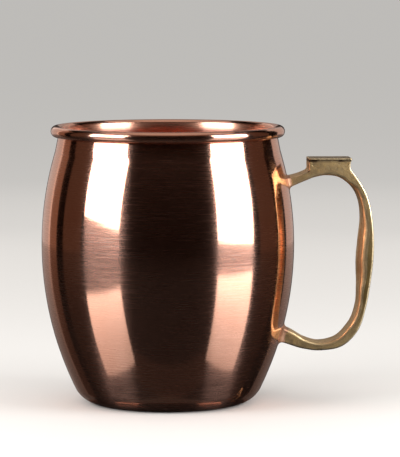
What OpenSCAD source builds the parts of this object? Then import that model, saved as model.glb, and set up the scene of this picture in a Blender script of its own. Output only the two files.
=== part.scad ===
// Barrel-shaped copper mug with a rolled lip and a cast brass handle brazed to its wall.
// The cup stands on the XY plane with its axis on Z, and the handle points along +X.

/* [Cup] */
// Height from the table to the top of the lip
cup_h = 95.3; // [95:0.1:98]
// Outside diameter at the belly
belly_d = 86.8; // [86:0.1:87.6]
// Height of the belly above the table
belly_z = 54.4; // [53.5:0.1:55]
// Radius of the arc that the wall follows from the base corner to the neck
wall_arc_r = 112; // [110:0.5:116]
// Outside diameter of the neck where it runs into the lip
neck_d = 75.4; // [74.8:0.1:76.2]
// Radius of the flare between the wall and the neck
neck_flare_r = 25; // [20:0.5:28]
// Radius of the rounded corner between the wall and the bottom
corner_r = 9.2; // [7:0.1:11]
// Thickness of the spun copper sheet
sheet_t = 0.9; // [0.7:0.05:1]

/* [Lip] */
// Height of the rolled lip
lip_h = 3.7; // [3.5:0.1:4.2]
// Width of the rolled lip, from the inside of the neck outwards
lip_w = 3.3; // [2.9:0.1:3.6]
// Gap between the free edge of the roll and the neck
lip_gap = 0.3; // [0.2:0.05:0.4]

/* [Bottom] */
// Height that the middle of the bottom is pushed up
dish_h = 1.2; // [0.6:0.1:2]
// Diameter of the pushed-up middle, at the table
dish_d = 42; // [36:0.5:44]
// Width of the slope around the pushed-up middle
dish_slope_w = 3; // [2:0.5:5]

/* [Handle] */
// Width of the handle strap across the handle
strap_w = 11.5; // [9:0.5:13]
// Sideways shift of the upright part of the strap away from the cup
reach_extra = 0; // [-1:0.5:3]
// Height of the underside of the thumb plate
block_top_z = 83.6; // [83:0.1:85]
// Middle of the thumb block along X
block_x = 55.5; // [55:0.1:56]
// Depth of the hollow in the outer end of the thumb block, below the end of its plate
block_hollow = 0.7; // [0.4:0.1:1]
// Radius of the hollow in the outer end of the thumb block
block_hollow_r = 4; // [3.5:0.1:6]
// Gap between the handle's ends and the copper wall
handle_gap = 0.15; // [0.1:0.05:0.3]

/* [Thumb plate] */
// Length of the thumb plate
plate_l = 15; // [14.6:0.1:15.6]
// Thickness of the thumb plate
plate_t = 0.6; // [0.4:0.1:1]
// How far the thumb plate stands out on each side of the strap
plate_overhang = 0.2; // [0.1:0.05:0.5]

/* [Braze] */
// Thickness of the upper braze collar, measured out from the wall
upper_braze_t = 1.3; // [0.8:0.1:1.6]
// Thickness of the lower braze collar, measured out from the wall
lower_braze_t = 2; // [1:0.1:2.4]
// How far a braze collar stands out around the strap
braze_lap = 0.45; // [0.3:0.05:0.7]

/* [Hidden] */

arc_fn = 720;
small_fn = 64;
turn_fn = 180;
overcut = 1;

// Circles of the wall's outline: the long arc, the base corner inside it, the neck flare outside it
belly_r = belly_d / 2;
neck_r = neck_d / 2;
arc_x = belly_r - wall_arc_r;
corner_x = arc_x + sqrt(pow(wall_arc_r - corner_r, 2) - pow(belly_z - corner_r, 2));
flare_x = neck_r + neck_flare_r;
flare_z = belly_z + sqrt(pow(wall_arc_r + neck_flare_r, 2) - pow(flare_x - arc_x, 2));

// Height where the long arc, set in by an inset, meets the corner
function corner_end_z(inset) =
    belly_z - (belly_z - corner_r) * (wall_arc_r - inset) / (wall_arc_r - corner_r);
// Height where the line through the centres of the long arc and the flare crosses the axis
flare_line_z = belly_z - (flare_z - belly_z) * arc_x / (flare_x - arc_x);

// Rolled lip: a roll with straight sides and round top and bottom
roll_r = lip_w / 2;
roll_x = neck_r - sheet_t + roll_r;
roll_top_z = cup_h - roll_r;
roll_bottom_z = cup_h - lip_h + roll_r;

// Stations along the middle of the strap, from the upper joint to the lower one: [x, z, thickness].
// The strap rises under the thumb block, turns down, swells for the grip, thins and widens into its foot.
strap_stations = [
    [37.5, 74.6, 4.0],
    [41.5, 76.0, 3.5],
    [45.5, 77.4, 2.9],
    [50.0, 79.1, 2.9],
    [54.7, 79.8, 3.1],
    [60.0, 79.3, 4.5],
    [64.5, 75.0, 3.4],
    [67.1, 69.8, 3.4],
    [68.1, 63.5, 4.0],
    [68.0, 56.0, 5.3],
    [67.6, 48.5, 5.7],
    [67.2, 40.5, 4.5],
    [66.4, 33.4, 3.5],
    [64.0, 26.1, 3.6],
    [59.2, 20.9, 3.3],
    [52.5, 19.3, 2.8],
    [46.5, 20.3, 3.6],
    [41.5, 22.5, 4.8],
    [36.5, 24.4, 5.0]
];
steps_per_span = 6;
// Station at the top of the strap's arch, and how deep the thumb block's root goes below it
arch_station = 4;
block_root = 1;
// The stations beyond this x belong to the upright and move with reach_extra
upright_x = 60;

function station(i) =
    let (s = strap_stations[max(0, min(len(strap_stations) - 1, i))])
    s[0] > upright_x ? [s[0] + reach_extra, s[1], s[2]] : s;

// Catmull-Rom curve through the stations i and i + 1, and its slope, at t from 0 to 1
function curve(i, t) =
    let (a = station(i - 1), b = station(i), c = station(i + 1), d = station(i + 2))
    b + 0.5 * t * ((c - a) + t * ((2 * a - 5 * b + 4 * c - d) + t * (3 * b - a - 3 * c + d)));
function curve_slope(i, t) =
    let (a = station(i - 1), b = station(i), c = station(i + 1), d = station(i + 2))
    0.5 * ((c - a) + 2 * t * (2 * a - 5 * b + 4 * c - d) + 3 * t * t * (3 * b - a - 3 * c + d));

// Point at one side of the strap, half its thickness from the middle
function side_point(i, t, side) =
    let (p = curve(i, t), v = curve_slope(i, t), n = norm([v[0], v[1]]))
    [p[0], p[1]] + side * p[2] / 2 * [-v[1], v[0]] / n;

last_span = len(strap_stations) - 2;
function side_line(side) = [
    for (i = [0 : last_span], k = [0 : steps_per_span - 1]) side_point(i, k / steps_per_span, side),
    side_point(last_span, 1, side)
];
function reversed(points) = [for (i = [len(points) - 1 : -1 : 0]) points[i]];

// Stations where the strap meets the wall
upper_joint = 1;
lower_joint = len(strap_stations) - 2;

// Half outline of the barrel, filled to the axis and set in from the outer skin by an inset.
// Its pieces overlap, so they join without a seam.
module barrel_2d(inset, top_z) {
    low_z = corner_end_z(inset);
    intersection() {
        translate([arc_x, belly_z]) circle(r = wall_arc_r - inset, $fn = arc_fn);
        translate([0, low_z]) square([belly_d, flare_z - low_z]);
    }
    translate([corner_x, corner_r]) circle(r = corner_r - inset, $fn = small_fn);
    translate([0, inset]) square([corner_x, belly_z - inset]);
    difference() {
        intersection() {
            polygon([[0, flare_line_z], [flare_x, flare_z], [0, flare_z]]);
            square([flare_x, top_z]);
        }
        translate([flare_x, flare_z]) circle(r = neck_flare_r + inset, $fn = arc_fn);
    }
    translate([0, belly_z]) square([neck_r - inset, top_z - belly_z]);
}

// Half outline of the pushed-up middle of the bottom, from a floor height up
module dish_2d(floor_z, rise) {
    polygon([
        [0, floor_z],
        [dish_d / 2, floor_z],
        [dish_d / 2 - dish_slope_w, floor_z + rise],
        [0, floor_z + rise]
    ]);
}

// Upright oval with straight sides, used for the outside and the hollow of the rolled lip
module roll_2d(radius) {
    translate([roll_x, roll_top_z]) circle(r = radius, $fn = small_fn);
    translate([roll_x, roll_bottom_z]) circle(r = radius, $fn = small_fn);
    translate([roll_x - radius, roll_bottom_z]) square([2 * radius, roll_top_z - roll_bottom_z]);
}

// The roll's free edge ends a small gap short of the neck, so its hollow is open below
module lip_2d() {
    slot_z = cup_h - lip_h - overcut;
    difference() {
        roll_2d(roll_r);
        roll_2d(roll_r - sheet_t);
        translate([neck_r - sheet_t - overcut, slot_z])
            square([sheet_t + overcut + lip_gap, roll_bottom_z - slot_z]);
    }
}

module cup_body() {
    color("#b96a45") rotate_extrude($fn = turn_fn) {
        difference() {
            barrel_2d(0, roll_top_z);
            difference() {
                barrel_2d(sheet_t, cup_h);
                dish_2d(sheet_t, dish_h);
            }
            dish_2d(0, dish_h);
        }
        lip_2d();
    }
}

// Solid core bounded by the wall's long arc, grown by a clearance
module wall_core(clearance) {
    rotate_extrude($fn = turn_fn) intersection() {
        translate([arc_x, belly_z]) circle(r = wall_arc_r + clearance, $fn = arc_fn);
        translate([0, corner_r]) square([belly_d, flare_z - corner_r]);
    }
}

// Block on the strap's arch, with a hollow worn into its outer end, and its root inside the strap
module thumb_block_2d() {
    block_l = plate_l - plate_overhang;
    root_z = station(arch_station)[1] - block_root;
    hollow_x = block_x + plate_l / 2 - block_hollow + block_hollow_r;
    difference() {
        translate([block_x - block_l / 2, root_z]) square([block_l, block_top_z - root_z]);
        translate([hollow_x, block_top_z - block_hollow_r / 2]) circle(r = block_hollow_r, $fn = small_fn);
    }
}

module handle() {
    color("#a78d52") difference() {
        rotate([90, 0, 0]) linear_extrude(height = strap_w, center = true) {
            polygon(concat(side_line(-1), reversed(side_line(1))));
            thumb_block_2d();
        }
        wall_core(handle_gap);
    }
}

module thumb_plate() {
    bar_l = plate_l - plate_t;
    color("#b79c60") translate([block_x, 0, block_top_z + plate_t / 2]) rotate([90, 0, 0])
        linear_extrude(height = strap_w + 2 * plate_overhang, center = true) {
            square([bar_l, plate_t], center = true);
            for (end = [-1, 1]) translate([end * bar_l / 2, 0]) circle(d = plate_t, $fn = small_fn);
        }
}

// Rectangle with round corners, centred
module round_rect_2d(width, height, radius) {
    square([width - 2 * radius, height], center = true);
    square([width, height - 2 * radius], center = true);
    for (x = [-1, 1], y = [-1, 1])
        translate([x * (width / 2 - radius), y * (height / 2 - radius)])
            circle(r = radius, $fn = small_fn);
}

// Collar of filler metal that wraps the strap at one joint and lies on the wall
module braze_collar(joint, thickness) {
    place = station(joint);
    slope = curve_slope(joint, 0);
    difference() {
        intersection() {
            translate([place[0], 0, place[1]]) rotate([0, -atan(slope[1] / slope[0]), 0])
                rotate([0, 90, 0]) linear_extrude(height = belly_r / 2, center = true)
                    round_rect_2d(place[2] + 2 * braze_lap, strap_w + 2 * braze_lap, 2 * braze_lap);
            wall_core(thickness);
        }
        wall_core(0);
        handle();
    }
}

module upper_braze() {
    color("#c07a5c") braze_collar(upper_joint, upper_braze_t);
}

module lower_braze() {
    color("#c07a5c") braze_collar(lower_joint, lower_braze_t);
}

cup_body();
handle();
thumb_plate();
upper_braze();
lower_braze();
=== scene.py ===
"""Looks of a barrel-shaped copper mug with a rolled lip and a cast brass handle.

The cup is spun from one copper sheet. The handle is a sand-cast strap with a thumb block, a thin
plate lies on the block, and two fillets of copper-coloured filler metal join the handle to the wall.
Shapes are worked out in millimetres, in the CAD frame, and become metres when a mesh is made.
"""

import math

import bpy
import numpy as np
from mathutils import Matrix, Vector, noise


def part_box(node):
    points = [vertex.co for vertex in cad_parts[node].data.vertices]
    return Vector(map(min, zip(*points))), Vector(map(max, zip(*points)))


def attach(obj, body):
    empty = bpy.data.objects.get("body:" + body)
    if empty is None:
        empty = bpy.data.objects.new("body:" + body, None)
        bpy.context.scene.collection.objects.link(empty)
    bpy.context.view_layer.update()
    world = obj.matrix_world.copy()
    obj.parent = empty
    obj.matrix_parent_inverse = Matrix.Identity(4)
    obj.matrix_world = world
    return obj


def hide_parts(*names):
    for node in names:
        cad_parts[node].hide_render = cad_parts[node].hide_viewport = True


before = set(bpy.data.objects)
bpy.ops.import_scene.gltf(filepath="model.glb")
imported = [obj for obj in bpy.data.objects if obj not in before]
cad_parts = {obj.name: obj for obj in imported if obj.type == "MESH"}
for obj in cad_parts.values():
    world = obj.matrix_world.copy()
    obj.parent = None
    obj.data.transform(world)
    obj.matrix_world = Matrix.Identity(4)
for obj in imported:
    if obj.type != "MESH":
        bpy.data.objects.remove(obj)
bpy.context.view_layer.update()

MM = 0.001
FULL_TURN = 2 * math.pi


def box_mm(node):
    """Lowest and highest corners of a CAD node, in millimetres."""
    low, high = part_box(node)
    return np.array(low) / MM, np.array(high) / MM


_, CUP_HIGH = box_mm("cup_body")
_, HANDLE_HIGH = box_mm("handle")
PLATE_LOW, PLATE_HIGH = box_mm("thumb_plate")

# ---------------------------------------------------------------------------------------------
# Helpers for lines and meshes


def make_mesh(name, verts_mm, faces, node, attributes=None):
    """A smooth-shaded piece on the root body that replaces a CAD node, from points in millimetres."""
    mesh = bpy.data.meshes.new(name)
    mesh.from_pydata((np.asarray(verts_mm, float) * MM).tolist(), [], faces)
    mesh.polygons.foreach_set("use_smooth", [True] * len(mesh.polygons))
    for key, values in (attributes or {}).items():
        attribute = mesh.attributes.new(key, "FLOAT", "POINT")
        attribute.data.foreach_set("value", np.asarray(values, np.float32).ravel())
    mesh.update()
    piece = bpy.data.objects.new(name, mesh)
    bpy.context.scene.collection.objects.link(piece)
    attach(piece, "root")
    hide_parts(node)
    return piece


def grid_faces(rings, around, close_rings=False):
    """Quads between closed rings of points. Point j of ring k has the number k * around + j."""
    faces = []
    for ring in range(rings if close_rings else rings - 1):
        this, following = ring * around, ((ring + 1) % rings) * around
        for j in range(around):
            n = (j + 1) % around
            faces.append((this + j, this + n, following + n, following + j))
    return faces


def end_caps(rings, around):
    """The two faces that close the first and the last ring of a grid."""
    last_ring = (rings - 1) * around
    return [tuple(range(around - 1, -1, -1)), tuple(last_ring + j for j in range(around))]


def distance_along(points):
    """Length of a polyline from its start to each of its points."""
    return np.concatenate([[0], np.cumsum(np.linalg.norm(np.diff(points, axis=0), axis=1))])


def resample(points, spacing, count=None):
    """Evenly spaced points along a polyline: count of them, or as many as the spacing gives."""
    points = np.asarray(points, float)
    along = distance_along(points)
    count = count or max(2, int(round(along[-1] / spacing)) + 1)
    at = np.linspace(0, along[-1], count)
    return np.stack([np.interp(at, along, points[:, i]) for i in range(points.shape[1])], axis=1)


def soften(points, sigma):
    """A polyline blurred along its length by sigma, in mm, which has one value for each point."""
    along = distance_along(points)
    weight = np.exp(-(((along[:, None] - along[None, :]) / sigma[:, None]) ** 2) / 2)
    weight /= weight.sum(axis=1, keepdims=True)
    out = weight @ points
    out[0], out[-1] = points[0], points[-1]
    return out


def moving_mean(values, reach):
    """Mean of each value and its neighbours up to reach places away."""
    window = 2 * reach + 1
    return np.convolve(np.pad(values, reach, mode="edge"), np.ones(window) / window, mode="valid")


def smooth_step(x, low, high):
    """0 up to low, 1 from high on, and an S-shaped curve between them."""
    t = np.clip((x - low) / (high - low), 0, 1)
    return t * t * (3 - 2 * t)


def directions(points):
    """Unit tangents of a polyline."""
    t = np.gradient(points, axis=0)
    return t / np.linalg.norm(t, axis=1, keepdims=True)


def flat_noise(point, fineness, level):
    """Smooth noise from -1 to 1 over a plane, which is one level of the noise in space."""
    return noise.noise(Vector((point[0] * fineness, point[1] * fineness, level)))


def arc(cx, cy, r, start, end, step):
    """Points on an arc, with all angles in degrees."""
    count = max(2, int(abs(end - start) / step) + 1)
    a = np.radians(np.linspace(start, end, count))
    return np.stack([cx + r * np.cos(a), cy + r * np.sin(a)], axis=1)


# ---------------------------------------------------------------------------------------------
# Cup: the section of the copper sheet, then that section spun round the axis

CUP_H = CUP_HIGH[2]
BELLY_R = CUP_HIGH[1]
BELLY_Z = 54.4
WALL_ARC_R = 112.0
CORNER_R = 9.2
SHEET_T = 0.9
# Heights on the neck and how far the wall leans in there, in degrees. Below zero it leans out.
NECK_LEAN = ((86.0, 16.4), (87.5, 11.5), (91.5, 11.5), (94.3, -23.0))
NECK_START_Z, NECK_END_Z = NECK_LEAN[0][0], NECK_LEAN[-1][0]
NECK_STEP = 0.1
NECK_R = 37.7
# The rolled lip. Its free edge stands a little closer to the neck than the CAD's gap says.
LIP_H = 3.7
LIP_W = 3.3
LIP_GAP = 0.3
TIP_CLOSER = 0.15
LIP_OUTSIDE_END_DEG = 153
# The pushed-up middle of the bottom
DISH_H = 1.2
DISH_R = 21.0
DISH_SLOPE_W = 3.0
# How finely the section is drawn
BOTTOM_STEP = 0.35
BOTTOM_BLUR = 0.9
CORNER_STEP_DEG = 2
WALL_STEP_DEG = 0.2
LIP_INSIDE_STEP_DEG = 12
LIP_EDGE_STEP_DEG = 18
LIP_OUTSIDE_STEP_DEG = 3
CUP_AROUND = 360
SAME_POINT = 1e-4
# How far below the lip's lines the wall's outer and inner lines stop
OUTER_JOIN_GAP = 0.05
INNER_JOIN_GAP = 0.1
# Where the satin inside begins, counted in points of the section from the end of the lip
SATIN_FADE = (-8, 4)
# Spinning leaves shallow rings in the wall, as waves up it, and slow swells. Both come in over
# some mm from the start height on, and go out over some mm up to the stop height.
RING_DEPTH = 0.0007
RING_WAVES = ((2.1, 0.4), (3.37, 1.3), (0.93, 2.2))
SWELL_DEPTH = 0.035
SWELLS_AROUND = 1.7
SWELLS_UP = 0.035
MARKS_START_Z, MARKS_START_FADE = 4, 8
MARKS_STOP_Z, MARKS_STOP_FADE = 91, 6

ARC_X = BELLY_R - WALL_ARC_R
CORNER_X = ARC_X + math.sqrt((WALL_ARC_R - CORNER_R) ** 2 - (BELLY_Z - CORNER_R) ** 2)
CORNER_ANGLE = math.degrees(math.atan2(CORNER_R - BELLY_Z, CORNER_X - ARC_X))
NECK_ANGLE = math.degrees(math.asin((NECK_START_Z - BELLY_Z) / WALL_ARC_R))
ROLL_X = NECK_R - SHEET_T + LIP_W / 2
ROLL_Z = CUP_H - LIP_H / 2


def wall_r(z):
    """Outside radius of the cup's long arc at a height."""
    return ARC_X + math.sqrt(WALL_ARC_R**2 - (z - BELLY_Z) ** 2)


def neck(inset):
    """The wall above its long arc. It leans in less and less, then out into the rolled lip."""
    z = np.arange(NECK_START_Z + NECK_STEP, NECK_END_Z, NECK_STEP)
    heights, leans = zip(*NECK_LEAN)
    lean = np.radians(np.interp(z, heights, leans))
    r = wall_r(NECK_START_Z) - np.cumsum(np.tan(lean)) * NECK_STEP
    return np.stack([r - inset * np.cos(lean), z - inset * np.sin(lean)], axis=1)


def skin(inset):
    """Outline from the axis, along the bottom and up the wall to the lip, set in from the outside."""
    middle_z = inset + DISH_H
    dish = [[0, middle_z], [DISH_R - DISH_SLOPE_W, middle_z], [DISH_R, inset], [CORNER_X, inset]]
    bottom = resample(dish, BOTTOM_STEP)
    bottom = soften(bottom, np.full(len(bottom), BOTTOM_BLUR))
    corner = arc(CORNER_X, CORNER_R, CORNER_R - inset, -90, CORNER_ANGLE, CORNER_STEP_DEG)
    wall = arc(ARC_X, BELLY_Z, WALL_ARC_R - inset, CORNER_ANGLE, NECK_ANGLE, WALL_STEP_DEG)
    return np.concatenate([bottom, corner[1:], wall[1:], neck(inset)])


def oval(half_w, half_h, start, end, step):
    """Points on an upright oval round the middle of the rolled lip, with all angles in degrees."""
    return arc(0, 0, 1, start, end, step) * [half_w, half_h] + [ROLL_X, ROLL_Z]


def curl():
    """The sheet rolled over at the rim: its inside first, then the free edge, then its outside."""
    half_w, half_h, half_t = LIP_W / 2, LIP_H / 2, SHEET_T / 2
    middle_w, middle_h = half_w - half_t, half_h - half_t
    tip_x = NECK_R + LIP_GAP + half_t - TIP_CLOSER
    tip_deg = -90 - math.degrees(math.asin((ROLL_X - tip_x) / middle_w))
    inside = oval(half_w - SHEET_T, half_h - SHEET_T, 180, tip_deg, LIP_INSIDE_STEP_DEG)
    tip = oval(middle_w, middle_h, tip_deg, tip_deg, 1)[0]
    edge = arc(tip[0], tip[1], half_t, tip_deg + 180, tip_deg, LIP_EDGE_STEP_DEG)[1:-1]
    outside = oval(half_w, half_h, tip_deg, LIP_OUTSIDE_END_DEG, LIP_OUTSIDE_STEP_DEG)
    return inside, edge, outside


def cup_section():
    """The sheet's outline from the axis to the axis, and how satin its skin is at each point."""
    outer, inner = skin(0), skin(SHEET_T)
    inside, edge, outside = curl()
    outer = outer[outer[:, 1] < inside[0, 1] - OUTER_JOIN_GAP]
    inner = inner[inner[:, 1] < outside[-1, 1] - INNER_JOIN_GAP]
    section = np.concatenate([outer, inside, edge, outside, inner[::-1]])
    lip_end = len(section) - len(inner)
    satin = smooth_step(np.arange(len(section)), lip_end + SATIN_FADE[0], lip_end + SATIN_FADE[1])
    apart = np.linalg.norm(np.diff(section, axis=0), axis=1) > SAME_POINT
    keep = np.concatenate([[True], apart])
    section, satin = section[keep], satin[keep]
    section[0, 0] = section[-1, 0] = 0
    return section, satin


def spinning_marks(heights, cos_a, sin_a):
    """How far the wall stands out at each height and angle. The marks only push it inwards."""
    z = heights[:, None]
    fade_in = np.clip((z - MARKS_START_Z) / MARKS_START_FADE, 0, 1)
    fade_out = np.clip((MARKS_STOP_Z - z) / MARKS_STOP_FADE, 0, 1)
    waves = sum(np.sin(z * wave + shift) for wave, shift in RING_WAVES)
    rings = RING_DEPTH * (waves - len(RING_WAVES))
    swell = np.zeros((len(heights), len(cos_a)))
    for i, height in enumerate(heights):
        for j, (c, s) in enumerate(zip(cos_a, sin_a)):
            place = Vector((c * SWELLS_AROUND, s * SWELLS_AROUND, height * SWELLS_UP))
            swell[i, j] = noise.noise(place)
    return fade_in * fade_out * (rings + SWELL_DEPTH * (swell - 1))


def build_cup():
    """The spun cup, with its distance along the section and its satin kept for the material."""
    section, satin = cup_section()
    along = distance_along(section)
    ring = section[1:-1]
    angle = np.arange(CUP_AROUND) * FULL_TURN / CUP_AROUND
    cos_a, sin_a = np.cos(angle), np.sin(angle)
    r = ring[:, :1] + spinning_marks(ring[:, 1], cos_a, sin_a)
    z = np.broadcast_to(ring[:, 1:], r.shape)
    verts = np.stack([r * cos_a, r * sin_a, z], axis=-1).reshape(-1, 3)
    verts = np.concatenate([verts, [[0, 0, section[0, 1]], [0, 0, section[-1, 1]]]])
    faces = grid_faces(len(ring), CUP_AROUND)
    low_middle, high_middle = len(verts) - 2, len(verts) - 1
    last_ring = (len(ring) - 1) * CUP_AROUND
    for j in range(CUP_AROUND):
        n = (j + 1) % CUP_AROUND
        faces.append((j, n, low_middle))
        faces.append((last_ring + n, last_ring + j, high_middle))
    attributes = {
        "path_mm": np.concatenate([np.repeat(along[1:-1], CUP_AROUND), along[[0, -1]]]),
        "satin": np.concatenate([np.repeat(satin[1:-1], CUP_AROUND), satin[[0, -1]]]),
    }
    return make_mesh("cup_spun_copper", verts, faces, "cup_body", attributes)


# ---------------------------------------------------------------------------------------------
# Handle: the strap follows the CAD's stations, [x, z, thickness]

STATIONS = np.array(
    [
        [37.5, 74.6, 4.0],
        [41.5, 76.0, 3.5],
        [45.5, 77.4, 2.9],
        [50.0, 79.1, 2.9],
        [54.7, 79.8, 3.1],
        [60.0, 79.3, 4.5],
        [64.5, 75.0, 3.4],
        [67.1, 69.8, 3.4],
        [68.1, 63.5, 4.0],
        [68.0, 56.0, 5.3],
        [67.6, 48.5, 5.7],
        [67.2, 40.5, 4.5],
        [66.4, 33.4, 3.5],
        [64.0, 26.1, 3.6],
        [59.2, 20.9, 3.3],
        [52.5, 19.3, 2.8],
        [46.5, 20.3, 3.6],
        [41.5, 22.5, 4.8],
        [36.5, 24.4, 5.0],
    ]
)
LAST_STATION = len(STATIONS) - 1
# The station at the top of the arch, which lies under the thumb block
ARCH_STATION = 4
STRAP_HALF_W = HANDLE_HIGH[1]
PLATE_HALF_L = (PLATE_HIGH[0] - PLATE_LOW[0]) / 2
# The thumb block, with its flat inner end and its hollow outer end
BLOCK_X = (PLATE_LOW[0] + PLATE_HIGH[0]) / 2
BLOCK_TOP_Z = HANDLE_HIGH[2]
BLOCK_END_INSET = 0.1
BLOCK_HOLLOW = 0.7
BLOCK_HOLLOW_R = 4.0
BLOCK_END_POINTS = 40
# Points of the outline count as block this far below its top and this far beyond its ends.
BLOCK_DEPTH = 3.2
BLOCK_MARGIN = 0.5
# How finely the outlines are drawn, and how much they are blurred, most where strap and block meet
STATION_STEP = 0.02
MEETING_STEP = 0.01
STRAP_STEP = 0.16
BLOCK_STEP = 0.8 * STRAP_STEP
OUTLINE_BLUR = 0.12
INNER_MEETING_BLUR = 0.55
OUTER_MEETING_BLUR = 0.6
MEETING_BLUR_REACH = 1.6
# Half a ring round the strap: points on a flat face, in a rounded edge and up the side
FACE_POINTS = 7
TURN_POINTS = 7
SIDE_POINTS = 14
# The inner face is rounder where the strap stands upright, and swells out at the grip. A crown is
# how much a face's middle stands out, and an edge radius belongs to the edges beside it. Each has a
# value for the arms, then what is added on the upright part and at the grip.
INNER_EDGE_R = (0.75, 0.8, 0.9)
INNER_CROWN = (0.12, 0.25, 0.6)
OUTER_EDGE_R = (0.45, 0.1)
OUTER_CROWN = 0.1
BLOCK_EDGE_R = 0.2
# Edge radii and crowns change gradually, over so many rings to each side.
EDGE_R_REACH = 8
CROWN_REACH = 12
# Where the strap counts as upright and as the grip, each coming in or going out between two places
UPRIGHT_X = (61, 64)
GRIP_LOW_Z = (36, 46)
GRIP_HIGH_Z = (58, 68)
# How worn a place is, for the material, which makes it smoother there and paler with painted
# highlight
WEAR_SHEEN_INNER_FACE = 0.35
WEAR_SHEEN_INNER_EDGE = 0.5
WEAR_SHEEN_OUTER_EDGE = 1.0
# The strap's ends lie in the wall's skin. The rings near an end are moved to get there.
END_SINK = 0.2
END_RINGS = 60
# The cast skin: the weight and the fineness of each layer of bumps
CAST_LAYERS = ((1.0, 1.0), (0.45, 2.7), (0.25, 6.1))
CAST_DEPTH = 0.05
CAST_SIZE = 2.2


def strap_curve(u):
    """Place and thickness in the middle of the strap, and their slope, at u, which counts stations."""
    i = min(int(u), LAST_STATION - 1)
    t = u - i
    a, b, c, d = (STATIONS[max(0, min(LAST_STATION, k))] for k in range(i - 1, i + 3))
    linear, square, cube = c - a, 2 * a - 5 * b + 4 * c - d, 3 * b - a - 3 * c + d
    place = b + 0.5 * t * (linear + t * (square + t * cube))
    slope = 0.5 * (linear + 2 * t * square + 3 * t * t * cube)
    return place, slope


def strap_side(u, side):
    """Point on the outer (+1) or inner (-1) edge line of the strap."""
    place, slope = strap_curve(u)
    normal = np.array([-slope[1], slope[0]]) / math.hypot(slope[0], slope[1])
    return place[:2] + side * place[2] / 2 * normal


def strap_line(start, stop, side):
    """The outer (+1) or inner (-1) edge line of the strap between two counts of stations."""
    count = int((stop - start) / STATION_STEP) + 2
    return np.array([strap_side(u, side) for u in np.linspace(start, stop, count)])


def block_end_x(z, end):
    """Where the inner (-1) or outer (+1) end of the thumb block is at a height."""
    flat = PLATE_HALF_L - BLOCK_END_INSET
    if end < 0:
        return BLOCK_X - flat
    dz = z - (BLOCK_TOP_Z - BLOCK_HOLLOW_R / 2)
    reach = math.sqrt(max(0.0, BLOCK_HOLLOW_R**2 - dz**2))
    return BLOCK_X + min(flat, PLATE_HALF_L - BLOCK_HOLLOW + BLOCK_HOLLOW_R - reach)


def meeting(end):
    """Count of stations and height where the outer edge line meets an end of the thumb block."""
    inside_u = float(ARCH_STATION)
    step = MEETING_STEP * end
    while True:
        x, z = strap_side(inside_u + step, 1)
        if (x - block_end_x(z, end)) * end > 0:
            return inside_u, z
        inside_u += step


def handle_lines():
    """Outer and inner outlines of the handle in the XZ plane, point for point, and which are block."""
    u_left, z_left = meeting(-1)
    u_right, z_right = meeting(1)
    up = [[block_end_x(z, -1), z] for z in np.linspace(z_left, BLOCK_TOP_Z, BLOCK_END_POINTS)]
    down = [[block_end_x(z, 1), z] for z in np.linspace(BLOCK_TOP_Z, z_right, BLOCK_END_POINTS)]
    first = resample(strap_line(0, u_left, 1), STRAP_STEP)
    block = resample(up + down, BLOCK_STEP)
    last = resample(strap_line(u_right, LAST_STATION, 1), STRAP_STEP)
    outer = np.concatenate([first, block[1:], last[1:]])
    inner = np.concatenate(
        [
            resample(strap_line(0, u_left, -1), STRAP_STEP, len(first)),
            resample(strap_line(u_left, u_right, -1), STRAP_STEP, len(block))[1:],
            resample(strap_line(u_right, LAST_STATION, -1), STRAP_STEP, len(last))[1:],
        ]
    )
    # The casting has small fillets where the block grows out of the strap.
    along = distance_along(outer)
    inner_meeting, outer_meeting = len(first) - 1, len(first) + len(block) - 2
    sigma = np.full(len(outer), OUTLINE_BLUR)
    for i, more in ((inner_meeting, INNER_MEETING_BLUR), (outer_meeting, OUTER_MEETING_BLUR)):
        sigma += more * np.exp(-(((along - along[i]) / MEETING_BLUR_REACH) ** 2))
    outer = soften(outer, sigma)
    near_block = abs(outer[:, 0] - BLOCK_X) < PLATE_HALF_L + BLOCK_MARGIN
    in_block = (outer[:, 1] > BLOCK_TOP_Z - BLOCK_DEPTH) & near_block
    return outer, inner, in_block


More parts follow.
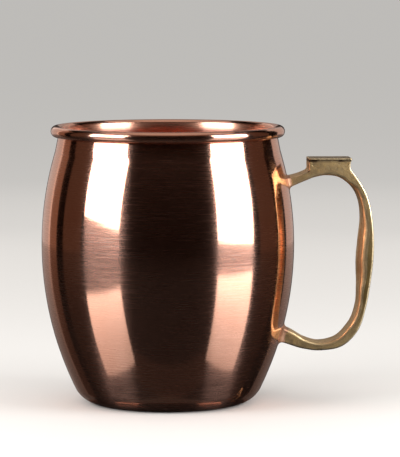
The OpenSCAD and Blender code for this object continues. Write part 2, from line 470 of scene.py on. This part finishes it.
def handle_rings():
    """Rings of points round the strap, one per outline point, and each point's wear and painted sheen.
    """
    outer, inner, in_block = handle_lines()
    t_out, t_in = directions(outer), directions(inner)
    into_out = np.stack([t_out[:, 1], -t_out[:, 0]], axis=1)
    into_in = np.stack([-t_in[:, 1], t_in[:, 0]], axis=1)
    height = inner[:, 1]
    upright = smooth_step(inner[:, 0], *UPRIGHT_X)
    grip = upright * smooth_step(height, *GRIP_LOW_Z) * (1 - smooth_step(height, *GRIP_HIGH_Z))
    r_in = INNER_EDGE_R[0] + INNER_EDGE_R[1] * upright + INNER_EDGE_R[2] * grip
    crown_in = INNER_CROWN[0] + INNER_CROWN[1] * upright + INNER_CROWN[2] * grip
    strap_r = OUTER_EDGE_R[0] + OUTER_EDGE_R[1] * upright
    r_out = moving_mean(np.where(in_block, BLOCK_EDGE_R, strap_r), EDGE_R_REACH)
    crown_out = moving_mean(np.where(in_block, 0.0, OUTER_CROWN), CROWN_REACH)

    quarter = math.pi / 2
    rows, wear_and_sheen = [], []
    for k in range(len(outer)):
        half = []
        flat = STRAP_HALF_W - r_in[k]
        for y in np.linspace(0, flat, FACE_POINTS, endpoint=False):
            half.append((inner[k] + into_in[k] * crown_in[k] * (y / flat) ** 2, y, WEAR_SHEEN_INNER_FACE))
        for a in np.linspace(0, quarter, TURN_POINTS):
            depth = crown_in[k] + r_in[k] * (1 - math.cos(a))
            half.append((inner[k] + into_in[k] * depth, flat + r_in[k] * math.sin(a), WEAR_SHEEN_INNER_EDGE))
        start = inner[k] + into_in[k] * (crown_in[k] + r_in[k])
        stop = outer[k] + into_out[k] * (crown_out[k] + r_out[k])
        for f in np.linspace(0, 1, SIDE_POINTS + 2)[1:-1]:
            half.append((start + (stop - start) * f, STRAP_HALF_W, 0.0))
        flat = STRAP_HALF_W - r_out[k]
        for a in np.linspace(quarter, 0, TURN_POINTS):
            depth = crown_out[k] + r_out[k] * (1 - math.cos(a))
            half.append((outer[k] + into_out[k] * depth, flat + r_out[k] * math.sin(a), WEAR_SHEEN_OUTER_EDGE))
        for y in np.linspace(flat, 0, FACE_POINTS + 1)[1:]:
            half.append((outer[k] + into_out[k] * crown_out[k] * (y / flat) ** 2, y, 0.0))
        full = half + [(p, -y, w) for p, y, w in reversed(half[1:-1])]
        rows.append([[p[0], y, p[1]] for p, y, _ in full])
        wear_and_sheen.append([w for _, _, w in full])
    return np.array(rows), np.array(wear_and_sheen)


def start_on_wall(rings):
    """Slides the first rings along the strap so that ring 0 lies in the wall, just below its skin."""
    rings = rings.copy()
    count, around, _ = rings.shape
    number = np.arange(count, dtype=float)
    for j in range(around):
        rail = rings[:, j].copy()
        skin_r = np.array([wall_r(z) for z in rail[:, 2]])
        outside = np.hypot(rail[:, 0], rail[:, 1]) - skin_r + END_SINK
        k = int(np.argmax(outside > 0))
        cross = k - 1 + outside[k - 1] / (outside[k - 1] - outside[k])
        at = number.copy()
        moved = at < END_RINGS
        at[moved] = cross + at[moved] * (END_RINGS - cross) / END_RINGS
        for i in range(3):
            rings[:, j, i] = np.interp(at, number, rail[:, i])
    return rings


def cast_skin(verts):
    """How far the casting's rough skin stands out at each point. It lies below the drawn surface."""
    height = np.empty(len(verts))
    for i, v in enumerate(verts):
        p = Vector(v) / CAST_SIZE
        height[i] = sum(weight * noise.noise(p * fineness) for weight, fineness in CAST_LAYERS)
    return CAST_DEPTH * (height - 1) / 2


def vertex_normals(verts, quads):
    """Unit normal at each point of a grid, from the quads that share it."""
    corners = np.array(quads).T
    one, two, three = (verts[corner] for corner in corners[:3])
    quad_normals = np.cross(two - one, three - one)
    out = np.zeros_like(verts)
    for corner in corners:
        np.add.at(out, corner, quad_normals)
    length = np.linalg.norm(out, axis=1, keepdims=True)
    return out / np.where(length > 0, length, 1)


def build_handle():
    """The cast handle, and its rings before the skin was roughened, for the brazes to follow."""
    rings, wear_and_sheen = handle_rings()
    rings = start_on_wall(rings)
    rings = start_on_wall(rings[::-1])[::-1]
    count, around, _ = rings.shape
    verts = rings.reshape(-1, 3)
    faces = grid_faces(count, around)
    verts = verts + vertex_normals(verts, faces) * cast_skin(verts)[:, None]
    faces.extend(end_caps(count, around))
    piece = make_mesh("handle_cast_brass", verts, faces, "handle", {"edge": wear_and_sheen})
    return piece, rings


# ---------------------------------------------------------------------------------------------
# Thumb plate

PLATE_HALF_T = (PLATE_HIGH[2] - PLATE_LOW[2]) / 2
PLATE_HALF_W = PLATE_HIGH[1]
PLATE_CORNER_R = 0.7
PLATE_CORNER_STEP_DEG = 15
PLATE_STEP = 0.2
PLATE_EDGE_R = 0.8 * PLATE_HALF_T
PLATE_EDGE_POINTS = 11
# Rings of points on the plate's flat faces, as shares of the way from its middle to its rim
PLATE_SHARES = (0.04, 0.25, 0.5, 0.72, 0.88, 0.95)
# The hand-cut outline wanders inwards, slowly and finely, and the top dips a little. Each has a
# size, then the fineness and the level of its noise.
CUT_MEAN = 0.08
CUT_SLOW = (0.10, 0.45, 3.1)
CUT_FINE = (0.05, 1.9, 8.4)
TOP_DIP = (0.03, 0.3, 1.7)


def plate_outline():
    """The plate's outline round its middle, evenly spaced, and how far it is cut in at each point."""
    outline = []
    for sx, sy, start in ((1, 1, 0), (-1, 1, 90), (-1, -1, 180), (1, -1, 270)):
        cx, cy = sx * (PLATE_HALF_L - PLATE_CORNER_R), sy * (PLATE_HALF_W - PLATE_CORNER_R)
        outline.extend(arc(cx, cy, PLATE_CORNER_R, start, start + 90, PLATE_CORNER_STEP_DEG).tolist())
    outline.append(outline[0])
    outline = resample(outline, PLATE_STEP)[:-1]
    slow = np.array([flat_noise(p, *CUT_SLOW[1:]) for p in outline])
    fine = np.array([flat_noise(p, *CUT_FINE[1:]) for p in outline])
    return outline, slow * CUT_SLOW[0] + fine * CUT_FINE[0] + CUT_MEAN


def build_plate():
    """A thin hand-cut plate: nearly flat on top, with round edges and a slightly crooked outline."""
    outline, cut_in = plate_outline()
    middle_z = PLATE_LOW[2] + PLATE_HALF_T
    # Each row has its share of the way to the rim, its height from -1 to 1, and how far out it
    # stands on the round rim, from 0 to 1.
    rim_angles = np.radians(np.linspace(90, -90, PLATE_EDGE_POINTS))
    rim = [(1.0, math.sin(a), math.cos(a)) for a in rim_angles]
    top = [(share, 1.0, 0.0) for share in PLATE_SHARES]
    bottom = [(share, -1.0, 0.0) for share in reversed(PLATE_SHARES)]
    verts, wear_and_sheen = [], []
    for share, height, out in top + rim + bottom:
        wear_and_sheen.extend([float(share == 1.0)] * len(outline))
        for p, cut in zip(outline, cut_in):
            inwards = p / np.linalg.norm(p)
            q = (p - inwards * (cut + PLATE_EDGE_R * (1 - out))) * share
            dip = 0.0
            if height > 0:
                dip = TOP_DIP[0] * flat_noise(q, *TOP_DIP[1:]) - TOP_DIP[0]
            verts.append([BLOCK_X + q[0], q[1], middle_z + PLATE_HALF_T * height + dip])
    rows = len(top) + len(rim) + len(bottom)
    faces = grid_faces(rows, len(outline)) + end_caps(rows, len(outline))
    faces = [tuple(reversed(f)) for f in faces]
    return make_mesh("thumb_plate_brass", verts, faces, "thumb_plate", {"edge": wear_and_sheen})


# ---------------------------------------------------------------------------------------------
# Braze fillets

FILLET_POINTS = 10
# The strap is far wider than thick, so a direction across it is first divided by its half sizes.
# The power then turns it towards the nearer face.
STRAP_END_HALF_T = 2.4
FACE_POWER = 3
# How deep the fillet's ends are sunk, and how far it stands off the corner it bridges
FOOT_SINK = 0.05
HEAD_SINK = 0.06
CORNER_OFF = 0.02
# Where the section turns back inside the strap and ends inside the wall
BACK_INSIDE = 0.5
BACK_IN_WALL = 0.3
# The fillet reaches further along the wall above and below the strap.
END_LONGER = 0.35
# Its edges wander in slow and fine waves. Each has a size, then the fineness of its noise and what
# is added to the seed.
WALL_WAVES = ((0.3, 1.3, 0), (0.12, 4.0, 5))
STRAP_WAVES = ((0.3, 1.5, 9), (0.1, 4.0, 5))


def set_on_wall(point, sink):
    """A point moved straight in or out until it lies in the cup's wall, sunk below its skin."""
    scale = (wall_r(point[2]) - sink) / math.hypot(point[0], point[1])
    return np.array([point[0] * scale, point[1] * scale, point[2]])


def wander(across, waves, seed):
    """A factor near 1 that changes with the direction round the strap."""
    factor = 1
    for size, fineness, more in waves:
        factor += size * flat_noise(across, fineness, seed + more)
    return factor


def build_braze(name, node, rings, reach_wall, reach_strap, seed):
    """A ring of filler metal round the strap's end: a hollow curve from the wall to the strap.

    It reaches about so far along the wall and along the strap. The seed sets how its edge wanders.
    """
    starts = rings[0]
    centre = starts.mean(axis=0)
    sections = []
    for start, rail in zip(starts, rings[:END_RINGS].swapaxes(0, 1)):
        axis = np.array([start[0], start[1], 0.0])
        axis /= np.linalg.norm(axis)
        out = start - centre
        out = out - axis * np.dot(out, axis)
        # Away from the strap across its nearer face, softened at the corners
        out = out / np.array([1.0, STRAP_HALF_W, STRAP_END_HALF_T])
        out[0] = 0.0
        out = np.sign(out) * np.abs(out) ** FACE_POWER
        out /= np.linalg.norm(out)

        wide = reach_wall * wander(out[1:], WALL_WAVES, seed) * (1 + END_LONGER * abs(out[2]))
        tall = reach_strap * wander(out[1:], STRAP_WAVES, seed)
        along = distance_along(rail)
        corner = set_on_wall(start, -CORNER_OFF)
        foot = set_on_wall(start + out * wide, FOOT_SINK)
        head = np.array([np.interp(tall, along, rail[:, i]) for i in range(3)])
        head = head - out * HEAD_SINK
        section = []
        for t in np.linspace(0, 1, FILLET_POINTS):
            section.append(foot * (1 - t) ** 2 + corner * 2 * t * (1 - t) + head * t**2)
        # Two points inside the strap and the wall close the section.
        section.append(start - out * BACK_INSIDE + axis * BACK_INSIDE)
        section.append(set_on_wall(start - out * BACK_IN_WALL, BACK_IN_WALL))
        sections.append(section)
    verts = np.array(sections)
    faces = grid_faces(verts.shape[0], verts.shape[1], close_rings=True)
    return make_mesh(name, verts.reshape(-1, 3), faces, node)


# ---------------------------------------------------------------------------------------------
# Materials

COPPER = (0.93, 0.50, 0.35, 1)
COPPER_TARNISHED = (0.89, 0.44, 0.295, 1)
COPPER_SCRATCHED = (0.88, 0.50, 0.46, 1)
BRASS = (0.95, 0.70, 0.38, 1)
BRASS_MOTTLE = (0.62, 0.44, 0.20, 1)
BRASS_CLOUD = (0.52, 0.36, 0.155, 1)
# Paler brass of worn edges, partly wear and partly painted highlight
BRASS_WORN_SHEEN = (0.92, 0.78, 0.52, 1)
# Painted shade on the faces of the grip
BRASS_PAINTED_SHADE = (0.27, 0.175, 0.06, 1)
# Painted shade in the seam under the plate's edge
SEAM_PAINTED_SHADE = (0.05, 0.03, 0.018, 1)
FILLER = (0.54, 0.32, 0.215, 1)
FILLER_MOTTLE = (0.42, 0.225, 0.14, 1)
# Ranges of roughness. The satin inside of the cup is this much rougher, and has this much more haze.
COPPER_ROUGH = (0.07, 0.11)
SCRATCH_ROUGH = (0.24, 0.30)
BRASS_ROUGH = (0.32, 0.54)
FILLER_ROUGH = (0.50, 0.64)
SEAM_ROUGH = 0.7
SATIN_ROUGHER = 0.24
SATIN_HAZE = 0.3
# The share of the polished copper that is a haze of scratches, and how that varies in patches
HAZE = (0.17, 0.29)
HAZE_PATCHES = (0.85, 1.15)
# How strongly the two layers of the copper are brushed, and the direction: a quarter turn, so that
# the marks run round the cup
POLISHED_BRUSHED = 0.6
SCRATCHED_BRUSHED = 1.0
BRUSHED_ROTATION = 0.25
# How deep the marks and the cast skin are, in metres
HAIR_DEPTH = 0.0002 * MM
BRASS_RELIEF = 0.07 * MM
BRASS_GRAIN_DEPTH = 0.03 * MM
FILLER_DEPTH = 0.05 * MM
# Heights in mm between which painted shade darkens the handle, downwards from the top and
# upwards from below
GRIP_SHADE_TOP = (78, 46)
GRIP_SHADE_BOTTOM = (21, 36)
GRIP_SHADE_DARKEST = 0.92
# How much of the paler colour of wear and painted highlight the edges take on
WEAR_SHEEN_BRIGHT = 0.6


class Nodes:
    """Short way to write a node tree. Values may be numbers, colours or sockets of other nodes."""

    def __init__(self, name):
        self.material = bpy.data.materials.new(name)
        self.material.use_nodes = True
        self.tree = self.material.node_tree
        self.tree.nodes.clear()
        self.out = self.add("ShaderNodeOutputMaterial")
        self.bsdf = self.add("ShaderNodeBsdfPrincipled")
        self.link(self.bsdf.outputs[0], self.out.inputs["Surface"])

    def add(self, kind):
        return self.tree.nodes.new(kind)

    def link(self, a, b):
        self.tree.links.new(a, b)

    def put(self, socket, value):
        if isinstance(value, bpy.types.NodeSocket):
            self.link(value, socket)
        else:
            socket.default_value = value

    def place(self):
        """Where the shaded point is, in metres."""
        return self.add("ShaderNodeNewGeometry").outputs["Position"]

    def attribute(self, name):
        """A value that make_mesh stored at the points."""
        node = self.add("ShaderNodeAttribute")
        node.attribute_name = name
        return node.outputs["Fac"]

    def split(self, vector):
        node = self.add("ShaderNodeSeparateXYZ")
        self.link(vector, node.inputs[0])
        return node.outputs[0], node.outputs[1], node.outputs[2]

    def combine(self, x, y, z):
        node = self.add("ShaderNodeCombineXYZ")
        for socket, value in zip(node.inputs, (x, y, z)):
            self.put(socket, value)
        return node.outputs[0]

    def math(self, operation, a, b=0.0, c=0.0):
        node = self.add("ShaderNodeMath")
        node.operation = operation
        for socket, value in zip(node.inputs, (a, b, c)):
            self.put(socket, value)
        return node.outputs[0]

    def times(self, a, b):
        return self.math("MULTIPLY", a, b)

    def remap(self, value, low, high, to_low=0.0, to_high=1.0):
        """The value moved from one range to another, and held at the ends of the new one."""
        node = self.add("ShaderNodeMapRange")
        for socket, v in zip(node.inputs, (value, low, high, to_low, to_high)):
            self.put(socket, v)
        return node.outputs[0]

    def noise(self, vector, scale, detail, roughness):
        """Noise from 0 to 1."""
        node = self.add("ShaderNodeTexNoise")
        settings = {"Vector": vector, "Scale": scale, "Detail": detail, "Roughness": roughness}
        for key, value in settings.items():
            self.put(node.inputs[key], value)
        return node.outputs["Fac"]

    def mix(self, factor, a, b):
        """Colour a where the factor is 0, colour b where it is 1."""
        node = self.add("ShaderNodeMix")
        node.data_type = "RGBA"
        self.put(node.inputs["Factor"], factor)
        colours = [s for s in node.inputs if s.type == "RGBA"]
        self.put(colours[0], a)
        self.put(colours[1], b)
        return [s for s in node.outputs if s.type == "RGBA"][0]

    def bump(self, height, distance, normal=None):
        """A bumpy normal, for heights in units of the distance, in metres."""
        node = self.add("ShaderNodeBump")
        self.put(node.inputs["Height"], height)
        node.inputs["Distance"].default_value = distance
        node.inputs["Strength"].default_value = 1.0
        if normal is not None:
            self.link(normal, node.inputs["Normal"])
        return node.outputs[0]

    def metal(self, bsdf, colour, roughness, brushed=0.0):
        """Turns a Principled node into metal. Brushed metal smears its highlights to one side."""
        self.put(bsdf.inputs["Base Color"], colour)
        self.put(bsdf.inputs["Roughness"], roughness)
        bsdf.inputs["Metallic"].default_value = 1.0
        if brushed:
            bsdf.inputs["Anisotropic"].default_value = brushed
            bsdf.inputs["Anisotropic Rotation"].default_value = BRUSHED_ROTATION


def copper_material():
    """Polished copper under fine marks that run round the cup, as spinning and buffing leave them."""
    n = Nodes("copper_spun")
    place = n.place()
    x, y, _ = n.split(place)
    radius = n.math("SQRT", n.math("ADD", n.times(x, x), n.times(y, y)))
    radius = n.math("MAXIMUM", radius, 0.5 * MM)
    x_round, y_round = n.math("DIVIDE", x, radius), n.math("DIVIDE", y, radius)
    path, satin = n.attribute("path_mm"), n.attribute("satin")

    def streaks(per_radian, per_mm, detail, roughness, offset):
        """Noise drawn out round the cup, with its finenesses along a streak and across it."""
        across = n.math("MULTIPLY_ADD", path, per_mm, offset)
        vector = n.combine(n.times(x_round, per_radian), n.times(y_round, per_radian), across)
        return n.noise(vector, 1.0, detail, roughness)

    lines = streaks(per_radian=2.6, per_mm=1.9, detail=3.0, roughness=0.62, offset=0.0)
    hairs = streaks(per_radian=5.0, per_mm=4.6, detail=2.0, roughness=0.5, offset=31.0)
    patches = streaks(per_radian=1.3, per_mm=0.045, detail=2.0, roughness=0.5, offset=77.0)
    tarnish = n.noise(place, scale=55.0, detail=3.0, roughness=0.55)
    colour = n.mix(n.remap(tarnish, 0.35, 0.7), COPPER, COPPER_TARNISHED)

    # The polished skin, dulled on the satin inside
    polished = n.bsdf
    rough = n.remap(patches, 0.3, 0.7, *COPPER_ROUGH)
    rough = n.math("MULTIPLY_ADD", satin, SATIN_ROUGHER, rough)
    n.metal(polished, colour, rough, brushed=POLISHED_BRUSHED)
    n.link(n.bump(hairs, HAIR_DEPTH), polished.inputs["Normal"])

    # The haze of scratches, which streaks light across them
    scratched = n.add("ShaderNodeBsdfPrincipled")
    rough = n.remap(hairs, 0.3, 0.7, *SCRATCH_ROUGH)
    pale = n.mix(0.35, colour, COPPER_SCRATCHED)
    n.metal(scratched, pale, rough, brushed=SCRATCHED_BRUSHED)

    # How much of the skin is haze
    marks = n.math("ADD", lines, n.times(hairs, 0.5))
    haze = n.remap(marks, 0.55, 0.95, *HAZE)
    haze = n.times(haze, n.remap(patches, 0.3, 0.7, *HAZE_PATCHES))
    haze = n.math("MULTIPLY_ADD", satin, SATIN_HAZE, haze)
    both = n.add("ShaderNodeMixShader")
    n.link(haze, both.inputs[0])
    n.link(polished.outputs[0], both.inputs[1])
    n.link(scratched.outputs[0], both.inputs[2])
    n.link(both.outputs[0], n.out.inputs["Surface"])
    return n.material


def brass_material(name, face_rough, edge_rough, unshaded_z, shaded_z):
    """Satin cast brass: a mottled, grainy skin, worn along its edges and paler there with painted
    highlight, and darker with painted shade on the faces of its grip.

    Its faces and worn edges have their own roughness. The seam between block and plate has painted
    shade: none at the first height given, the most from the second on, both in mm.
    """
    n = Nodes(name)
    place = n.place()
    _, _, z = n.split(place)
    wear_and_sheen = n.attribute("edge")
    grain = n.noise(place, scale=1900.0, detail=3.0, roughness=0.6)
    mottle = n.noise(place, scale=620.0, detail=4.0, roughness=0.62)
    cloud = n.noise(place, scale=120.0, detail=3.0, roughness=0.5)
    smudge = n.noise(place, scale=340.0, detail=3.0, roughness=0.6)
    blotch = n.math("ADD", n.times(mottle, 0.55), n.times(grain, 0.45))
    colour = n.mix(n.remap(blotch, 0.40, 0.62), BRASS, BRASS_MOTTLE)
    colour = n.mix(n.remap(cloud, 0.4, 0.7, 0.0, 0.5), colour, BRASS_CLOUD)
    rough = n.remap(blotch, 0.38, 0.62, BRASS_ROUGH[0] * face_rough, BRASS_ROUGH[1] * face_rough)

    # Worn edges: smoother, and paler with painted highlight
    rough = n.times(rough, n.remap(wear_and_sheen, 0.5, 1.0, 1.0, edge_rough / face_rough))
    colour = n.mix(n.times(wear_and_sheen, WEAR_SHEEN_BRIGHT), colour, BRASS_WORN_SHEEN)
    relief = n.times(mottle, n.remap(wear_and_sheen, 0.0, 0.5, 1.0, 0.3))

    # Painted shade on the faces of the grip
    grip_shade_top = n.remap(z, GRIP_SHADE_TOP[0] * MM, GRIP_SHADE_TOP[1] * MM, 0.0, GRIP_SHADE_DARKEST)
    grip_shade_bottom = n.remap(z, GRIP_SHADE_BOTTOM[0] * MM, GRIP_SHADE_BOTTOM[1] * MM)
    on_faces = n.remap(wear_and_sheen, 0.0, 0.4, 1.0, 0.0)
    grip = n.times(n.times(grip_shade_top, grip_shade_bottom), on_faces)
    colour = n.mix(grip, colour, BRASS_PAINTED_SHADE)

    # Painted shade in the seam under the plate's edge, in patches, with a rougher skin there
    near_seam = n.remap(z, unshaded_z * MM, shaded_z * MM)
    seam = n.times(near_seam, n.remap(smudge, 0.40, 0.52, 0.45, 1.0))
    colour = n.mix(seam, colour, SEAM_PAINTED_SHADE)
    rough = n.math("MAXIMUM", rough, n.times(seam, SEAM_ROUGH))

    n.metal(n.bsdf, colour, rough)
    normal = n.bump(relief, BRASS_RELIEF)
    n.link(n.bump(grain, BRASS_GRAIN_DEPTH, normal), n.bsdf.inputs["Normal"])
    return n.material


def filler_material():
    """Copper-coloured filler metal, dull and slightly uneven."""
    n = Nodes("filler_metal")
    mottle = n.noise(n.place(), scale=700.0, detail=3.0, roughness=0.6)
    colour = n.mix(n.remap(mottle, 0.3, 0.7), FILLER, FILLER_MOTTLE)
    n.metal(n.bsdf, colour, n.remap(mottle, 0.3, 0.7, *FILLER_ROUGH))
    n.link(n.bump(mottle, FILLER_DEPTH), n.bsdf.inputs["Normal"])
    return n.material


def plain_material(name, colour, roughness, specular):
    """An even coat of one colour, for the floor."""
    n = Nodes(name)
    n.bsdf.inputs["Base Color"].default_value = colour
    n.bsdf.inputs["Roughness"].default_value = roughness
    n.bsdf.inputs["Specular IOR Level"].default_value = specular
    return n.material


# ---------------------------------------------------------------------------------------------
# Camera and studio, in metres. Only the lens is in millimetres.

# The camera stands a little to the left of the mug's front and looks down a little. It is turned
# past the mug, so that the mug and its handle together fill the picture.
CAMERA_DISTANCE = 1.050
CAMERA_HEIGHT = 0.1576
CAMERA_AZIMUTH = math.radians(2.5)
CAMERA_PITCH = math.radians(5.317)
CAMERA_TURN = math.radians(0.60113)
CAMERA_LENS = 241.76
CAMERA_CLIP_START = 0.01

FLOOR_R = 12.0
FLOOR_CORNERS = 96
MIRROR_FLOOR_Z = -0.02 * MM
FLOOR_PALE = (0.64, 0.632, 0.615, 1)
FLOOR_DARK = (0.012, 0.011, 0.011, 1)
WORLD_SEEN = (0.80, 0.79, 0.78, 1)
WORLD_MIRRORED = (1.0, 0.50, 0.30, 1)
WORLD_MIRRORED_STRENGTH = 0.004
WHITE = (1.0, 1.0, 1.0)
WARM = (1.0, 0.93, 0.88)
ORANGE = (1.0, 0.60, 0.42)
# Two strong boxes give the bright strips on the wall, and weak ones fill in behind, beside and
# above. The columns are what soft_box takes, in its order: name, azimuth, tilt and roll, distance,
# across, width, low and high, radiance, colour, shape.
LIGHTS = (
    ("box_left", -52.8, 14.9, -4.6, 0.48, -0.098, 0.326, -0.035, 0.229, 8.0, WHITE, "RECTANGLE"),
    ("box_right", 60.5, 12.1, -3.3, 0.48, -0.004, 0.312, -0.057, 0.238, 8.0, WHITE, "RECTANGLE"),
    ("box_back_left", -151, 0, 0, 0.60, 0, 0.34, 0.0, 0.45, 0.52, WARM, "RECTANGLE"),
    ("box_side_left", -130, 0, 0, 0.61, 0, 0.19, 0.0, 0.45, 0.20, ORANGE, "RECTANGLE"),
    ("box_back_right", 145.5, 0, 0, 0.60, 0, 0.31, 0.0, 0.45, 0.47, WARM, "RECTANGLE"),
    ("wing_left", -98, 0, 0, 0.60, 0, 0.26, 0.0, 0.60, 0.07, ORANGE, "RECTANGLE"),
    ("wing_right", 99, 0, 0, 0.60, 0, 0.26, 0.0, 0.60, 0.07, ORANGE, "RECTANGLE"),
    ("box_high_back", 180, 25, 0, 0.90, 0, 0.60, -0.2, 0.3, 0.35, WARM, "RECTANGLE"),
    ("box_front_high", 0, 51, 0, 1.0, 0, 1.2, -0.12, 0.12, 0.22, ORANGE, "RECTANGLE"),
    ("box_top", 0, 90, 0, 1.0, 0, 1.3, -0.65, 0.65, 0.38, WARM, "DISK"),
)


def make_camera():
    """The camera at the photograph's angle."""
    data = bpy.data.cameras.new("camera")
    data.lens = CAMERA_LENS
    data.clip_start = CAMERA_CLIP_START
    camera = bpy.data.objects.new("camera", data)
    bpy.context.scene.collection.objects.link(camera)
    camera.location = (
        -CAMERA_DISTANCE * math.sin(CAMERA_AZIMUTH),
        -CAMERA_DISTANCE * math.cos(CAMERA_AZIMUTH),
        CAMERA_HEIGHT,
    )
    camera.rotation_euler = (math.pi / 2 - CAMERA_PITCH, 0, -(CAMERA_AZIMUTH + CAMERA_TURN))
    bpy.context.scene.camera = camera


def soft_box(
    name, azimuth, tilt, roll, distance, across, width, low, high, radiance, colour, shape
):
    """A soft light that faces the mug.

    Its plane lies at a distance from the origin, at an azimuth from -Y towards +X, tilted down by
    tilt and rolled about its own middle line. In that plane it spans width about across, and low to
    high. Angles are in degrees.
    """
    data = bpy.data.lights.new(name, "AREA")
    data.shape = shape
    data.size, data.size_y = width, high - low
    data.energy = radiance * math.pi * width * (high - low)
    data.color = colour
    light = bpy.data.objects.new(name, data)
    bpy.context.scene.collection.objects.link(light)
    turn = Matrix.Rotation(math.radians(azimuth), 4, "Z")
    lean = Matrix.Rotation(math.radians(90 - tilt), 4, "X")
    spin = Matrix.Rotation(math.radians(roll), 4, "Z")
    middle = Matrix.Translation((across, (low + high) / 2, distance))
    light.matrix_world = turn @ lean @ spin @ middle
    light.visible_camera = False


def disc(name, z, material):
    """A wide flat floor."""
    angles = [i * FULL_TURN / FLOOR_CORNERS for i in range(FLOOR_CORNERS)]
    verts = [(FLOOR_R * math.cos(a), FLOOR_R * math.sin(a), z) for a in angles]
    mesh = bpy.data.meshes.new(name)
    mesh.from_pydata(verts, [], [tuple(range(FLOOR_CORNERS))])
    mesh.materials.append(material)
    piece = bpy.data.objects.new(name, mesh)
    bpy.context.scene.collection.objects.link(piece)
    return piece


def make_floors():
    """The eye sees a pale table. The polished metal mirrors a dark glossy one, as in the photo."""
    paint = plain_material("floor_pale", FLOOR_PALE, roughness=0.9, specular=0.0)
    table = disc("floor_pale", 0.0, paint)
    table.visible_glossy = False
    table.visible_shadow = False
    gloss = plain_material("floor_dark", FLOOR_DARK, roughness=0.03, specular=0.65)
    card = disc("floor_dark", MIRROR_FLOOR_Z, gloss)
    card.visible_camera = False
    card.visible_diffuse = False
    card.visible_transmission = False
    card.visible_volume_scatter = False


def make_world():
    """Pale surroundings, but nearly black ones where they are seen mirrored in the metal."""
    world = bpy.data.worlds.new("studio")
    bpy.context.scene.world = world
    world.use_nodes = True
    tree = world.node_tree
    tree.nodes.clear()
    out = tree.nodes.new("ShaderNodeOutputWorld")
    mix = tree.nodes.new("ShaderNodeMixShader")
    rays = tree.nodes.new("ShaderNodeLightPath")
    tree.links.new(rays.outputs["Is Glossy Ray"], mix.inputs[0])
    looks = ((WORLD_SEEN, 1.0), (WORLD_MIRRORED, WORLD_MIRRORED_STRENGTH))
    for socket, (colour, strength) in zip(mix.inputs[1:], looks):
        background = tree.nodes.new("ShaderNodeBackground")
        background.inputs["Color"].default_value = colour
        background.inputs["Strength"].default_value = strength
        tree.links.new(background.outputs[0], socket)
    tree.links.new(mix.outputs[0], out.inputs["Surface"])


# ---------------------------------------------------------------------------------------------
# The scene

make_camera()
make_floors()
for light in LIGHTS:
    soft_box(*light)
make_world()
bpy.context.scene.view_settings.view_transform = "Standard"

cup = build_cup()
cup.data.materials.append(copper_material())

handle, handle_ring_points = build_handle()
brass = brass_material(
    "brass_cast",
    face_rough=1.08,
    edge_rough=0.75,
    # Painted shade in the seam under the plate: none at the first height, the most from the second on
    unshaded_z=BLOCK_TOP_Z - 0.9,
    shaded_z=BLOCK_TOP_Z - 0.45,
)
handle.data.materials.append(brass)

plate = build_plate()
brass = brass_material(
    "brass_plate",
    face_rough=0.5,
    edge_rough=1.15,
    # Painted shade along the plate's lower edge: none at the first height, the most from the second on
    unshaded_z=PLATE_LOW[2] + 0.34,
    shaded_z=PLATE_LOW[2] + 0.12,
)
plate.data.materials.append(brass)

filler = filler_material()
upper = build_braze(
    "braze_upper", "upper_braze", handle_ring_points, reach_wall=1.2, reach_strap=1.6, seed=2.0
)
lower = build_braze(
    "braze_lower", "lower_braze", handle_ring_points[::-1], reach_wall=1.5, reach_strap=2.3, seed=14.0
)
for piece in (upper, lower):
    piece.data.materials.append(filler)
